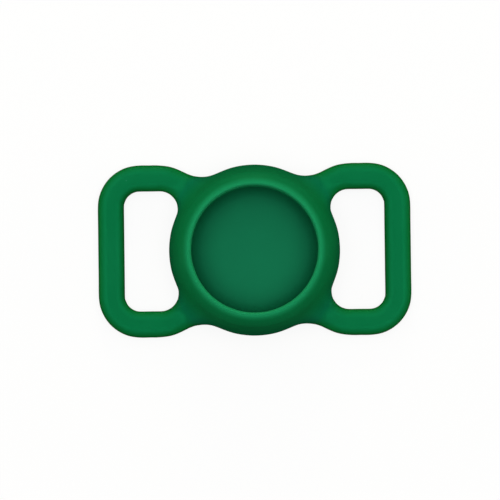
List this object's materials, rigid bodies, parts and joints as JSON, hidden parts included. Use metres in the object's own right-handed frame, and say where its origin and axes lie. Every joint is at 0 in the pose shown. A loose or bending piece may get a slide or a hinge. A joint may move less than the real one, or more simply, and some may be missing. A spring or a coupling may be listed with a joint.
{
  "type": "tracker tag holder",
  "caption": "Soft silicone holder for a coin-shaped tracker tag: a round open-mouthed pocket with a flexing strap loop at each end.",
  "frame": {"origin": "middle of the flat back, under the middle of the pocket", "axes": "+X along the strap towards the right-hand loop, +Y across the strap, +Z out of the pocket's mouth"},
  "size_m": [0.07, 0.0384, 0.011],
  "materials": {
    "pocket_silicone": "matt moulded silicone",
    "floor_silicone": "matt moulded silicone",
    "loop_silicone": "matt moulded silicone"
  },
  "bodies": {
    "hub": {"pocket_floor": "floor_silicone", "pocket_wall": "pocket_silicone", "retaining_lip": "pocket_silicone", "upper_left_shoulder": "pocket_silicone", "lower_left_shoulder": "pocket_silicone", "upper_right_shoulder": "pocket_silicone", "lower_right_shoulder": "pocket_silicone"},
    "left_loop": {"upper_left_arm": "loop_silicone", "lower_left_arm": "loop_silicone", "left_strap_bar": "loop_silicone"},
    "right_loop": {"upper_right_arm": "loop_silicone", "lower_right_arm": "loop_silicone", "right_strap_bar": "loop_silicone"}
  },
  "joints": [
    {"name": "left_loop_flex", "type": "hinge", "parent": "hub", "child": "left_loop", "pos_m": [-0.0208, 0, 0.0015], "axis": [0, -1, 0], "range_deg": [-30, 40], "stiffness_Nm_per_rad": 0.01, "deforming": ["upper_left_arm", "lower_left_arm"]},
    {"name": "right_loop_flex", "type": "hinge", "parent": "hub", "child": "right_loop", "pos_m": [0.0208, 0, 0.0015], "axis": [0, 1, 0], "range_deg": [-30, 40], "stiffness_Nm_per_rad": 0.01, "deforming": ["upper_right_arm", "lower_right_arm"]}
  ]
}
